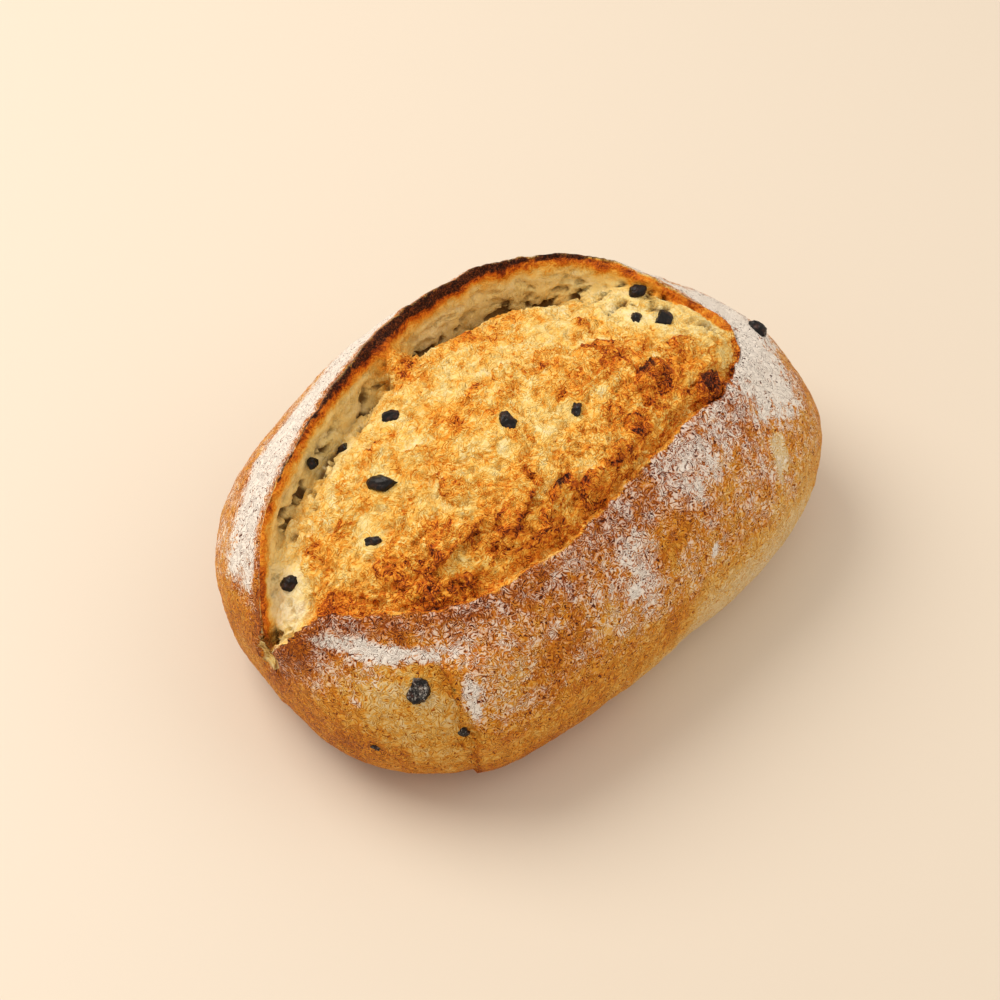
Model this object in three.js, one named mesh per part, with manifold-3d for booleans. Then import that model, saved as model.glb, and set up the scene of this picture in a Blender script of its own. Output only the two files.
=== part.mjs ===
// A slashed olive sourdough loaf: one baked solid, with the chopped olive pieces that show at its surface.
// Millimetres, +Z up, +X along the loaf, -Y the low floured side and +Y the side where the ear of crust stands up.
import * as THREE from "three";
import { mergeVertices } from "three/addons/utils/BufferGeometryUtils.js";
import Module from "manifold-3d";

// ---- Driving dimensions -------------------------------------------------------------------------

const HALF_LENGTH = 115;
const WIDEST_HEIGHT = 36; // the height of the loaf's widest line above its flat base

// Read from the -X end to the +X end, evenly spaced along the loaf.
const FRONT_HALF_WIDTHS = [71, 75, 74, 71.5, 69, 68];
const BACK_HALF_WIDTHS = [87, 89, 95, 92, 82, 71];
const CROWN_HEIGHTS = [91, 94, 96, 94.5, 91, 90];

// Superellipse powers: 2 is an ellipse, and more is squarer.
const PLAN_POWER = 2.9;
const CROWN_POWER = 2.4; // the crown's fall towards the ends
const BASE_POWER = 4.5; // the base's lift towards the ends
const TOP_SECTION_POWER = 1.9;
const BASE_SECTION_POWER = 3.2;
const BASE_OVERSHOOT = 1.04; // the round base is cut flat at z = 0, which leaves a flat spot to rest on

// The slash opens between two lines over the top. Each row is a place along the loaf, from -1 to 1, and an
// angle round it: 0 is the back, 90 the top and 180 the front. Sizes in the other columns are millimetres.
const EAR_LINE = [
  // along, angle, height of the ear, depth of the gully under it
  [-0.9995, 72, 1.5, 1],
  [-0.978, 74, 4, 2],
  [-0.91, 69, 8, 2.5],
  [-0.8, 62.5, 10, 3],
  [-0.62, 59.5, 12, 4],
  [-0.4, 57, 14, 5.5],
  [-0.18, 53.5, 15.5, 7],
  [0.05, 51.5, 17, 9],
  [0.25, 53.5, 18, 8.5],
  [0.4, 59, 18, 4],
  [0.53, 69, 15, -5],
  [0.63, 80, 9, -6],
  [0.71, 90, 5, -3],
  [0.757, 97, 2, 1],
];
const LIP_LINE = [
  // along, angle, height of the lip, drop from it to the crumb
  [-0.9995, 72, 1.5, 0],
  [-0.97, 95, 3, 1],
  [-0.89, 103, 3.4, 2],
  [-0.78, 116, 2.2, 2],
  [-0.62, 125, 1.4, 2],
  [-0.42, 129.7, 1.2, 2],
  [-0.2, 130.3, 1.2, 2],
  [0.03, 126.5, 1.2, 2],
  [0.28, 122.5, 1.2, 2],
  [0.5, 120.5, 1.2, 1.6],
  [0.64, 115, 1, 1],
  [0.72, 107, 0.6, 0.5],
  [0.757, 97, 0.5, 0],
];
const CRUMB_SWELL = [-6, -1, 1, 2, 2, 3, 5]; // how far the burst crumb stands above the crust's own line, end to end
const EAR_WALL_WIDTH = 6; // from the ear's tip in to the foot of the gully
const GULLY_RISE_WIDTH = 10; // from there up to the crumb
const EAR_REACH = 46; // how far down the back the ear lifts the crust
const LIP_REACH = 7;
const END_SLOPE_WIDTH = 10; // over which the crumb swells up from the lip
const END_BLEND = 16; // over which the slash fades into the crust at each of its ends

// The olive pieces. along and angle place one as on the slash's lines, size is its length, width and depth, turn is
// in degrees about the outward direction, and sink is the share of its depth below the surface.
const OLIVE_GAP = 0.3; // between each piece and its pocket in the loaf
const OLIVES = [
  // on top of the crumb
  { along: 0.536, angle: 87.6, size: [9, 8.8, 6], turn: -36, sink: 0.7 },
  { along: 0.478, angle: 83, size: [7.6, 3.6, 5], turn: 44, sink: 0.68 },
  { along: -0.136, angle: 93, size: [8, 5.8, 5.6], turn: 62, sink: 0.66 },
  { along: 0.052, angle: 102, size: [8, 3.8, 5], turn: 42, sink: 0.66 },
  { along: -0.527, angle: 83.6, size: [10.8, 6.6, 5.8], turn: -56, sink: 0.55 },
  { along: -0.661, angle: 94.5, size: [6.6, 3, 3.4], turn: -41, sink: 0.66 },
  { along: -0.881, angle: 77.5, size: [6, 6.4, 5], turn: 0, sink: 0.64 },
  // in the gully and on the wall of the ear
  { along: -0.358, angle: 70.8, size: [6.4, 5.2, 4.8], turn: -30, sink: 0.6 },
  { along: -0.504, angle: 64.6, size: [6.4, 4.6, 4.6], turn: 0, sink: 0.6 },
  { along: -0.598, angle: 62.4, size: [4.4, 3.6, 3.6], turn: 30, sink: 0.6 },
  { along: 0.543, angle: 76.3, size: [7.4, 4.6, 4.2], turn: -20, sink: 0.55 },
  { along: -0.131, angle: 56, size: [6, 3.2, 3.2], turn: 20, sink: 0.6 },
  // in the crust at the two ends
  { along: 0.862, angle: 103.8, size: [8.8, 4.8, 4.8], turn: -66, sink: 0.42 },
  { along: -0.803, angle: 146, size: [8.6, 8, 5.6], turn: 35, sink: 0.6 },
  { along: -0.736, angle: 171, size: [4.6, 4, 3.6], turn: 0, sink: 0.7 },
  { along: -0.93, angle: 183, size: [3.4, 3, 3], turn: 0, sink: 0.7 },
  // in the crust at the back
  { along: -0.46, angle: 4, size: [7, 5.6, 4.6], turn: 40, sink: 0.62 },
  { along: 0.24, angle: 2, size: [5.2, 6.4, 4.4], turn: -15, sink: 0.66 },
  { along: 0.66, angle: 31, size: [6.6, 5, 4.4], turn: 60, sink: 0.62 },
];

// ---- Shape of the loaf --------------------------------------------------------------------------

const radians = THREE.MathUtils.degToRad;
const LINE_SAMPLES = 240;

// The value at t, from 0 to 1, on a smooth curve through evenly spaced values.
function smoothValue(values, t) {
  const curve = new THREE.SplineCurve(values.map((v, i) => new THREE.Vector2(i, v)));
  return curve.getPoint(THREE.MathUtils.clamp(t, 0, 1)).y;
}

const signedPower = (value, power) => Math.sign(value) * Math.abs(value) ** power;
const taper = (along, power) => Math.max(1 - Math.abs(along) ** power, 0) ** (1 / power);

// A point on the loaf's unslashed skin. angle is in radians.
function skinPoint(along, angle) {
  const t = (along + 1) / 2;
  const plan = taper(along, PLAN_POWER);
  const halfWidth = smoothValue(Math.cos(angle) < 0 ? FRONT_HALF_WIDTHS : BACK_HALF_WIDTHS, t) * plan;
  const above = Math.sin(angle) > 0;
  const rise = above
    ? (smoothValue(CROWN_HEIGHTS, t) - WIDEST_HEIGHT) * taper(along, CROWN_POWER)
    : WIDEST_HEIGHT * taper(along, BASE_POWER) * BASE_OVERSHOOT;
  const power = 2 / (above ? TOP_SECTION_POWER : BASE_SECTION_POWER);
  return new THREE.Vector3(
    HALF_LENGTH * along,
    halfWidth * signedPower(Math.cos(angle), power),
    WIDEST_HEIGHT + rise * signedPower(Math.sin(angle), power),
  );
}

// The outward direction of the unslashed skin there.
function skinNormal(along, angle) {
  const step = 1e-3;
  const turn = Math.asin(THREE.MathUtils.clamp(along, -1, 1));
  const alongSkin = skinPoint(Math.sin(turn + step), angle).sub(skinPoint(Math.sin(turn - step), angle));
  const roundSkin = skinPoint(along, angle + step).sub(skinPoint(along, angle - step));
  return roundSkin.cross(alongSkin).normalize();
}

// One of the slash's lines as closely spaced points on the skin, each with the line's own two sizes there.
function sampleLine(rows) {
  const columns = [0, 1, 2, 3].map((c) => rows.map((row) => row[c]));
  return Array.from({ length: LINE_SAMPLES + 1 }, (_, i) => {
    const [along, degrees, height, depth] = columns.map((values) => smoothValue(values, i / LINE_SAMPLES));
    const angle = radians(degrees);
    return { along, angle, height, depth, point: skinPoint(along, angle) };
  });
}
const earLine = sampleLine(EAR_LINE);
const lipLine = sampleLine(LIP_LINE);

function angleOn(line, along) {
  const next = line.findIndex((sample) => sample.along >= along);
  if (next < 0) return line.at(-1).angle;
  if (next === 0) return line[0].angle;
  const [a, b] = [line[next - 1], line[next]];
  return THREE.MathUtils.mapLinear(along, a.along, b.along, a.angle, b.angle);
}

function nearestOn(line, point) {
  let nearest = line[0];
  for (const sample of line)
    if (sample.point.distanceToSquared(point) < nearest.point.distanceToSquared(point)) nearest = sample;
  return { ...nearest, distance: nearest.point.distanceTo(point) };
}

// How far the crumb inside the slash stands off the skin.
function crumbOffset(ear, lip, along) {
  const start = earLine[0].along;
  const end = earLine.at(-1).along;
  const swell = smoothValue(CRUMB_SWELL, (along - start) / (end - start));
  const edge = THREE.MathUtils.smoothstep(lip.distance, 0, 1.5);
  const lipStep = lip.height * (1 - edge) - lip.depth * edge * Math.exp(-((lip.distance / 6) ** 2));
  if (ear.distance < EAR_WALL_WIDTH) {
    const down = (ear.distance / EAR_WALL_WIDTH) ** 1.1;
    return ear.height - (ear.height + ear.depth) * down + lipStep;
  }
  const up = THREE.MathUtils.smoothstep(ear.distance, EAR_WALL_WIDTH, EAR_WALL_WIDTH + GULLY_RISE_WIDTH);
  const away = THREE.MathUtils.smoothstep(lip.distance, 0, END_SLOPE_WIDTH);
  return (-ear.depth + (swell + ear.depth) * up) * away + lipStep;
}

// How far the crust outside the slash stands off the skin.
function crustOffset(ear, lip) {
  const earShare = Math.max(1 - ear.distance / EAR_REACH, 0) ** 1.7;
  return ear.height * earShare + lip.height * Math.exp(-((lip.distance / LIP_REACH) ** 2));
}

// A point on the finished loaf.
function loafPoint(along, angle) {
  const point = skinPoint(along, angle);
  if (Math.abs(along) === 1) return point;
  const ear = nearestOn(earLine, point);
  const lip = nearestOn(lipLine, point);
  const inLength = along > earLine[0].along && along < earLine.at(-1).along;
  const inSlash = inLength && angle > angleOn(earLine, along) && angle < angleOn(lipLine, along);
  let offset = crustOffset(ear, lip);
  if (inSlash) {
    const toEnd = Math.min(point.distanceTo(earLine[0].point), point.distanceTo(earLine.at(-1).point));
    const opened = THREE.MathUtils.smoothstep(toEnd, 0, END_BLEND);
    offset = THREE.MathUtils.lerp(offset, crumbOffset(ear, lip, along), opened);
  }
  // The ear stands more upright than the skin that it tears away from.
  const upright = 0.6 * Math.exp(-ear.distance / 25);
  const direction = skinNormal(along, angle).multiplyScalar(1 - upright);
  direction.z += upright;
  point.addScaledVector(direction.normalize(), offset);
  point.z = Math.max(point.z, 0);
  return point;
}

// ---- Mesh of the loaf ---------------------------------------------------------------------------

const STATIONS = 58;
const FRONT_ROWS = 15; // from the middle of the base round the front to the lip
const CRUMB_ROWS = 10;
const GULLY_ROWS = [2.9, 2.0, 1.4, 1.0, 0.5]; // in wall widths from the ear's tip
const BACK_ROWS = 15;
const ROWS = FRONT_ROWS + CRUMB_ROWS + GULLY_ROWS.length + BACK_ROWS;
const LEAST_SLASH_ANGLE = radians(8); // half the angle that the slash's rows keep where it closes
const BASE_ANGLE = radians(270);

// The angles of one section's rows, from the base round the front, over the top and down the back to the base.
function rowAngles(along) {
  const middle = (angleOn(earLine, along) + angleOn(lipLine, along)) / 2;
  const earAngle = Math.min(angleOn(earLine, along), middle - LEAST_SLASH_ANGLE);
  const lipAngle = Math.max(angleOn(lipLine, along), middle + LEAST_SLASH_ANGLE);
  const reach = HALF_LENGTH * 0.65 * Math.max(taper(along, PLAN_POWER), 0.2);
  const wall = Math.min(EAR_WALL_WIDTH / reach, (lipAngle - earAngle) * 0.2);
  const crumbEnd = earAngle + wall * (GULLY_ROWS[0] + 0.9);
  const angles = [];
  for (let i = 0; i < FRONT_ROWS; i++) angles.push(THREE.MathUtils.lerp(BASE_ANGLE, lipAngle, i / FRONT_ROWS));
  for (let i = 0; i < CRUMB_ROWS; i++) angles.push(THREE.MathUtils.lerp(lipAngle, crumbEnd, i / CRUMB_ROWS));
  for (const widths of GULLY_ROWS) angles.push(earAngle + wall * widths);
  for (let i = 0; i <= BACK_ROWS; i++)
    angles.push(THREE.MathUtils.lerp(earAngle, BASE_ANGLE - 2 * Math.PI, (i / BACK_ROWS) ** 1.15));
  return angles;
}

// A sphere's grid of points, each moved to its place on the loaf. Its poles are the loaf's two ends.
function loafGeometry() {
  const geometry = new THREE.SphereGeometry(1, ROWS, STATIONS);
  const position = geometry.getAttribute("position");
  for (let station = 0; station <= STATIONS; station++) {
    const along = station === STATIONS ? 1 : -Math.cos((Math.PI * station) / STATIONS);
    const angles = rowAngles(along);
    for (let row = 0; row <= ROWS; row++) {
      const point = loafPoint(along, row === ROWS ? angles[0] : angles[row]);
      position.setXYZ(station * (ROWS + 1) + row, point.x, point.y, point.z);
    }
  }
  return geometry;
}

// ---- Solids -------------------------------------------------------------------------------------

const wasm = await Module();
wasm.setup();

function solidFrom(geometry) {
  const bare = new THREE.BufferGeometry();
  bare.setAttribute("position", geometry.getAttribute("position"));
  bare.setIndex(geometry.getIndex());
  const merged = mergeVertices(bare, 1e-3);
  return new wasm.Manifold(
    new wasm.Mesh({
      numProp: 3,
      vertProperties: new Float32Array(merged.getAttribute("position").array),
      triVerts: new Uint32Array(merged.getIndex().array),
    }),
  );
}

function geometryFrom(solid) {
  const mesh = solid.getMesh();
  const geometry = new THREE.BufferGeometry();
  geometry.setAttribute("position", new THREE.BufferAttribute(mesh.vertProperties, 3));
  geometry.setIndex(new THREE.BufferAttribute(mesh.triVerts, 1));
  geometry.computeVertexNormals();
  return geometry;
}

// ---- Olive pieces -------------------------------------------------------------------------------

const NORMAL_REACH = 2; // how far apart the loaf is felt on each side of an olive piece, in mm

// The outward direction of the finished loaf, felt over a few millimetres, and the direction along the loaf there.
function loafFrame(along, angle) {
  const alongStep = NORMAL_REACH / HALF_LENGTH;
  const angleStep = NORMAL_REACH / skinPoint(along, angle).distanceTo(new THREE.Vector3(HALF_LENGTH * along, 0, 0));
  const lengthways = loafPoint(along + alongStep, angle).sub(loafPoint(along - alongStep, angle)).normalize();
  const roundabout = loafPoint(along, angle + angleStep).sub(loafPoint(along, angle - angleStep));
  const outward = roundabout.cross(lengthways).normalize();
  return new THREE.Matrix4().makeBasis(lengthways, outward.clone().cross(lengthways), outward);
}

// A chopped olive piece, bedded in the loaf's surface and grown by a given amount on every side.
function oliveGeometry({ along, angle, size, turn, sink }, growth) {
  const geometry = new THREE.IcosahedronGeometry(0.5, 1);
  geometry.scale(...size.map((length) => length + 2 * growth));
  geometry.rotateZ(radians(turn));
  geometry.translate(0, 0, (0.5 - sink) * size[2]);
  geometry.applyMatrix4(loafFrame(along, radians(angle)).setPosition(loafPoint(along, radians(angle))));
  return geometry;
}

// ---- The part -----------------------------------------------------------------------------------

const crust = new THREE.MeshStandardMaterial({ color: 0xc98a4b, roughness: 0.85, metalness: 0 });
const oliveSkin = new THREE.MeshStandardMaterial({ color: 0x1c1c22, roughness: 0.45, metalness: 0 });

const group = new THREE.Group();

function addPiece(name, solid, material) {
  const piece = new THREE.Mesh(geometryFrom(solid), material);
  piece.name = name;
  group.add(piece);
}

let loafSolid = solidFrom(loafGeometry());
for (const olive of OLIVES) loafSolid = loafSolid.subtract(solidFrom(oliveGeometry(olive, OLIVE_GAP)));
addPiece("loaf", loafSolid, crust);
OLIVES.forEach((olive, i) => {
  addPiece(`olive_piece_${String(i + 1).padStart(2, "0")}`, solidFrom(oliveGeometry(olive, 0)), oliveSkin.clone());
});

// The origin is the middle of the loaf's footprint.
const box = new THREE.Box3().setFromObject(group.children[0]);
const middle = box.getCenter(new THREE.Vector3());
for (const piece of group.children) piece.geometry.translate(-middle.x, -middle.y, -box.min.z);

export default group;
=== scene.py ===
import math
import random

import bmesh
import bpy
import numpy as np
from mathutils import Matrix, Vector, kdtree, noise


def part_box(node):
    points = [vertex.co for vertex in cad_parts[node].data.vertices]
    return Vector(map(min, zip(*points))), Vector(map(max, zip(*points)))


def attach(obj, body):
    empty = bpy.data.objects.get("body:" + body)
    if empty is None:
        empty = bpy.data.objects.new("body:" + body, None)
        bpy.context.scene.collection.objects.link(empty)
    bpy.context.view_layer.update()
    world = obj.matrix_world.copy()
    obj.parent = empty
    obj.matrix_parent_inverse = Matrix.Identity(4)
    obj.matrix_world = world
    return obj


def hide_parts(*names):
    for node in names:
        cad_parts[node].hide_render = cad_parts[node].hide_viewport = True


# A slashed olive sourdough loaf: the baked loaf itself, and the chopped olive pieces that show at its
# surface.
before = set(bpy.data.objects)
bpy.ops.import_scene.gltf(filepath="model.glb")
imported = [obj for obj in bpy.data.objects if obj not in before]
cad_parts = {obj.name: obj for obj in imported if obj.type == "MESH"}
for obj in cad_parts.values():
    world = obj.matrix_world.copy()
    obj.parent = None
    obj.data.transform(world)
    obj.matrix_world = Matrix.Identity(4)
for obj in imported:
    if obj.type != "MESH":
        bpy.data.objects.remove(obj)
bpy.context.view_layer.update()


# ---- Camera -------------------------------------------------------------------------------------
# A short telephoto that looks down on the loaf from its front left, so that the slash runs away from it. It
# is shifted a little, which sets the loaf in the picture without turning the camera.

CAMERA_TURN = math.radians(-41.3)
CAMERA_RISE = math.radians(50)
CAMERA_DISTANCE = 0.7557
CAMERA_AIM = Vector((0.0006, -0.0106, 0.038))
LENS_LENGTH = 75
SENSOR_WIDTH = 36
SIDE_SHIFT = -0.0357
UP_SHIFT = 0.0044

camera_data = bpy.data.cameras.new("camera")
camera_data.lens = LENS_LENGTH
camera_data.sensor_width = SENSOR_WIDTH
camera_data.shift_x = SIDE_SHIFT
camera_data.shift_y = UP_SHIFT
camera = bpy.data.objects.new("camera", camera_data)
bpy.context.scene.collection.objects.link(camera)
back = Vector((
    math.sin(CAMERA_TURN) * math.cos(CAMERA_RISE),
    -math.cos(CAMERA_TURN) * math.cos(CAMERA_RISE),
    math.sin(CAMERA_RISE),
))
camera.location = CAMERA_AIM + back * CAMERA_DISTANCE
camera.rotation_euler = back.to_track_quat("Z", "Y").to_euler()
bpy.context.scene.camera = camera


# ---- The baked loaf -----------------------------------------------------------------------------
# One piece of baked wheat dough: a floured oval crust, and the crumb that burst out of one long slash beside
# a standing ear of crust. It is shaped over a sphere's grid: a smooth skin, then the slash, then the torn
# detail.

# The loaf's sizes are in mm.
MM = 0.001

# The skin. The half widths and crown heights are evenly spaced from the -X end to the +X end, and the powers
# say how square its outline and its cross-sections are.
HALF_LENGTH = 115.0
WIDEST_HEIGHT = 36.0
FRONT_HALF_WIDTHS = [71, 75, 74, 71.5, 69, 68]
BACK_HALF_WIDTHS = [87, 89, 95, 92, 82, 71]
CROWN_HEIGHTS = [91, 94, 96, 94.5, 91, 90]
PLAN_POWER = 2.9
CROWN_POWER = 2.4
BASE_POWER = 4.5
TOP_SECTION_POWER = 1.9
BASE_SECTION_POWER = 3.2
BASE_OVERSHOOT = 1.04

# The slash's two lines: place along the loaf, angle round it (0 the back, 90 the top, 180 the front), height
# of the edge there and drop beside it, in mm.
EAR_LINE = [
    (-0.9995, 72, 1.5, 1),
    (-0.978, 74, 4, 2),
    (-0.91, 69, 8, 2.5),
    (-0.8, 62.5, 10, 3),
    (-0.62, 59.5, 12, 4),
    (-0.4, 57, 14, 5.5),
    (-0.18, 53.5, 15.5, 7),
    (0.05, 51.5, 17, 9),
    (0.25, 53.5, 18, 8.5),
    (0.4, 59, 18, 4),
    (0.53, 69, 15, -5),
    (0.63, 80, 9, -6),
    (0.71, 90, 5, -3),
    (0.757, 97, 2, 1),
]
LIP_LINE = [
    (-0.9995, 72, 1.5, 0),
    (-0.97, 95, 3, 1),
    (-0.89, 103, 3.4, 2),
    (-0.78, 116, 2.2, 2),
    (-0.62, 125, 1.4, 2),
    (-0.42, 129.7, 1.2, 2),
    (-0.2, 130.3, 1.2, 2),
    (0.03, 126.5, 1.2, 2),
    (0.28, 122.5, 1.2, 2),
    (0.5, 120.5, 1.2, 1.6),
    (0.64, 115, 1, 1),
    (0.72, 107, 0.6, 0.5),
    (0.757, 97, 0.5, 0),
]
LINE_SAMPLES = 500
LINE_END_SHARE = 0.06

# The slash's cross-section: how far the burst crumb stands out along the slash, the widths of the ear's wall
# and of the rise out of the gully, and how far from each line its edge lifts the crust.
CRUMB_SWELL = [-6, -1, 1, 2, 2, 3, 5]
EAR_WALL_WIDTH = 6.0
EAR_WALL_POWER = 1.5
GULLY_RISE_WIDTH = 10.0
EAR_REACH = 46.0
EAR_FALL_POWER = 1.7
EAR_UPRIGHT_SHARE = 0.6
EAR_UPRIGHT_REACH = 25
LIP_REACH = 7.0
LIP_EDGE_WIDTH = 1.5
LIP_GROOVE_WIDTH = 6
END_SLOPE_WIDTH = 10.0
END_BLEND = 16.0

# The crust overhangs the gully by this much, between these distances from the ear's edge.
UNDERCUT = 4.0
UNDERCUT_STARTS = (1.2, 5.5)
UNDERCUT_ENDS = (6.5, 13)

# One strand of crumb still bridges the gully under the ear.
BRIDGE_ALONG = -0.2
BRIDGE_HALF_WIDTH = 9.0
BRIDGE_RISE = 8.0


def smooth_value(values, t):
    """The values at t, from 0 to 1, on a smooth curve through evenly spaced values."""
    values = np.asarray(values, float)
    last = len(values) - 1
    place = np.clip(np.asarray(t, float), 0, 1) * last
    i = np.minimum(place.astype(int), last - 1)
    w = place - i
    before = values[np.maximum(i - 1, 0)]
    here = values[i]
    after = values[i + 1]
    beyond = values[np.minimum(i + 2, last)]
    slope_in = (after - before) / 2
    slope_out = (beyond - here) / 2
    cubic = 2 * here - 2 * after + slope_in + slope_out
    square = 3 * after - 3 * here - 2 * slope_in - slope_out
    return ((cubic * w + square) * w + slope_in) * w + here


def smooth_step(value, low, high):
    t = np.clip((value - low) / (high - low), 0, 1)
    return t * t * (3 - 2 * t)


def signed_power(value, power):
    return np.sign(value) * np.abs(value) ** power


def taper(along, power):
    return np.maximum(1 - np.abs(along) ** power, 0) ** (1 / power)


def unit(vectors):
    return vectors / (np.linalg.norm(vectors, axis=-1, keepdims=True) + 1e-12)


def skin_point(along, angle):
    """Points of the unslashed skin, in mm. angle is in radians."""
    t = (along + 1) / 2
    plan = taper(along, PLAN_POWER)
    cosine = np.cos(angle)
    sine = np.sin(angle)
    front = smooth_value(FRONT_HALF_WIDTHS, t)
    rear = smooth_value(BACK_HALF_WIDTHS, t)
    half_width = np.where(cosine < 0, front, rear) * plan
    crown = (smooth_value(CROWN_HEIGHTS, t) - WIDEST_HEIGHT) * taper(along, CROWN_POWER)
    keel = WIDEST_HEIGHT * taper(along, BASE_POWER) * BASE_OVERSHOOT
    power = 2 / np.where(sine > 0, TOP_SECTION_POWER, BASE_SECTION_POWER)
    y = half_width * signed_power(cosine, power)
    z = WIDEST_HEIGHT + np.where(sine > 0, crown, keel) * signed_power(sine, power)
    return np.stack([HALF_LENGTH * along + 0 * y, y, z], -1)


def skin_frame(along, angle):
    """Unit directions of the skin: outward, and the one that runs round the loaf as the angle grows."""
    step = 1e-3
    turn = np.arcsin(np.clip(along, -1, 1))
    lengthways = skin_point(np.sin(turn + step), angle) - skin_point(np.sin(turn - step), angle)
    roundabout = unit(skin_point(along, angle + step) - skin_point(along, angle - step))
    return unit(np.cross(roundabout, lengthways)), roundabout


def fractal_at(points, size, octaves, seed):
    """Smooth noise of about -1 to 1 at points in mm, with lumps of about the given size in mm.

    Noise of one seed is unlike noise of another.
    """
    scaled = (np.asarray(points) / size + seed * 17.3).tolist()
    return np.array([noise.fractal(place, 0.8, 2.0, octaves) for place in scaled])


def sample_line(rows, waver, roughness):
    """One of the slash's lines as close points, wavering sideways and rough in height, both in mm."""
    t = np.linspace(0, 1, LINE_SAMPLES)
    along, angle, height, drop = (smooth_value(column, t) for column in zip(*rows))
    angle = np.radians(angle)
    ends = smooth_step(np.minimum(t, 1 - t), 0, LINE_END_SHARE)
    track = np.stack([HALF_LENGTH * along, 0 * along, 0 * along], -1)
    radius = np.linalg.norm((skin_point(along, angle) - [0, 0, WIDEST_HEIGHT])[:, 1:], axis=1)
    angle = angle + fractal_at(track, 11, 4, waver) * ends * waver / radius
    rough = fractal_at(track, 9, 2, 7) + 0.7 * fractal_at(track, 2.4, 2, 8)
    height = height + rough * ends * roughness
    point = skin_point(along, angle)
    finder = kdtree.KDTree(len(point))
    for i, place in enumerate(point.tolist()):
        finder.insert(place, i)
    finder.balance()
    return {
        "along": along,
        "angle": angle,
        "height": height,
        "drop": drop,
        "point": point,
        "finder": finder,
    }


ear_line = sample_line(EAR_LINE, 0.9, 0.8)
lip_line = sample_line(LIP_LINE, 1.8, 0.3)


def nearest_on(line, points):
    """For each point, its distance to a line, and the line's height and drop at the nearest place."""
    flat = points.reshape(-1, 3)
    find = line["finder"].find
    nearest = np.array([find(place)[1] for place in flat.tolist()])
    best = np.full(len(flat), np.inf)
    best_place = np.zeros(len(flat))
    for first in (np.maximum(nearest - 1, 0), np.minimum(nearest, LINE_SAMPLES - 2)):
        start = line["point"][first]
        run = line["point"][first + 1] - start
        share = np.clip(((flat - start) * run).sum(-1) / (run**2).sum(-1), 0, 1)
        distance = np.linalg.norm(flat - start - run * share[:, None], axis=-1)
        nearer = distance < best
        best = np.where(nearer, distance, best)
        best_place = np.where(nearer, first + share, best_place)
    count = np.arange(LINE_SAMPLES)
    shape = points.shape[:-1]
    height = np.interp(best_place, count, line["height"])
    drop = np.interp(best_place, count, line["drop"])
    return best.reshape(shape), height.reshape(shape), drop.reshape(shape)


def angle_on(line, along):
    return np.interp(along, line["along"], line["angle"])


slash_start = ear_line["along"][0]
slash_end = ear_line["along"][-1]


def slash_shape(along, angle):
    """The loaf with its slash, and what later steps need to know about each point."""
    point = skin_point(along, angle)
    outward, roundabout = skin_frame(along, angle)
    ear_distance, ear_height, ear_drop = nearest_on(ear_line, point)
    lip_distance, lip_height, lip_drop = nearest_on(lip_line, point)
    in_length = (along > slash_start) & (along < slash_end)
    in_slash = in_length & (angle > angle_on(ear_line, along)) & (angle < angle_on(lip_line, along))
    ends = [np.linalg.norm(point - ear_line["point"][i], axis=-1) for i in (0, -1)]
    opened = smooth_step(np.minimum(*ends), 0, END_BLEND) * in_slash
    bridge = np.exp(-(((along - BRIDGE_ALONG) * HALF_LENGTH / BRIDGE_HALF_WIDTH) ** 2))

    ear_share = np.maximum(1 - ear_distance / EAR_REACH, 0) ** EAR_FALL_POWER
    crust_offset = ear_height * ear_share + lip_height * np.exp(-((lip_distance / LIP_REACH) ** 2))

    swell = smooth_value(CRUMB_SWELL, (along - slash_start) / (slash_end - slash_start))
    drop = ear_drop * (1 - bridge) - BRIDGE_RISE * bridge
    wall_share = np.clip(ear_distance / EAR_WALL_WIDTH, 0, 1)
    wall = ear_height - (ear_height + drop) * wall_share**EAR_WALL_POWER
    risen = smooth_step(ear_distance, EAR_WALL_WIDTH, EAR_WALL_WIDTH + GULLY_RISE_WIDTH)
    rise = (-drop + (swell + drop) * risen) * smooth_step(lip_distance, 0, END_SLOPE_WIDTH)
    edge = smooth_step(lip_distance, 0, LIP_EDGE_WIDTH)
    groove = lip_drop * edge * np.exp(-((lip_distance / LIP_GROOVE_WIDTH) ** 2))
    lip_step = lip_height * (1 - edge) - groove
    crumb_offset = np.where(ear_distance < EAR_WALL_WIDTH, wall, rise) + lip_step

    offset = crust_offset + (crumb_offset - crust_offset) * opened
    upright = (EAR_UPRIGHT_SHARE * np.exp(-ear_distance / EAR_UPRIGHT_REACH))[..., None]
    direction = unit(outward * (1 - upright) + np.array([0, 0, 1]) * upright)
    under_ear = smooth_step(ear_distance, *UNDERCUT_STARTS) * (1 - smooth_step(ear_distance, *UNDERCUT_ENDS))
    undercut = UNDERCUT * under_ear * opened * (1 - bridge)
    place = point + direction * offset[..., None] - roundabout * undercut[..., None]
    return {
        "point": place,
        "in_slash": in_slash,
        "opened": opened,
        "bridge": bridge,
        "ear_distance": ear_distance,
        "lip_distance": lip_distance,
        "below_ear": np.where(in_slash, ear_height - offset, 0),
    }


# The grid: stations along the loaf and rows round it. Each stretch of a station's rows has its own share of
# them: from the middle of the base to the lip, from there over the crumb to the ear, and from the ear down
# the back. The low ground near the base has wider rows, and a flat place still has some.
STATIONS = 320
ROWS = 300
LIP_ROW = 78 / ROWS
EAR_ROW = 228 / ROWS
TABLE_STATIONS = 160
TABLE_ANGLES = 240
LEAST_SLASH_ANGLE = math.radians(5)
BASE_ANGLE = math.radians(270)
END_RADIUS = 62
RIM_SAMPLES = 2001
LOW_GROUND_SHARE = 0.35
LOW_GROUND_HEIGHTS = (2, 30)
LEAST_STEP = 0.02
NEAR_THE_ENDS = 0.99999


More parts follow.
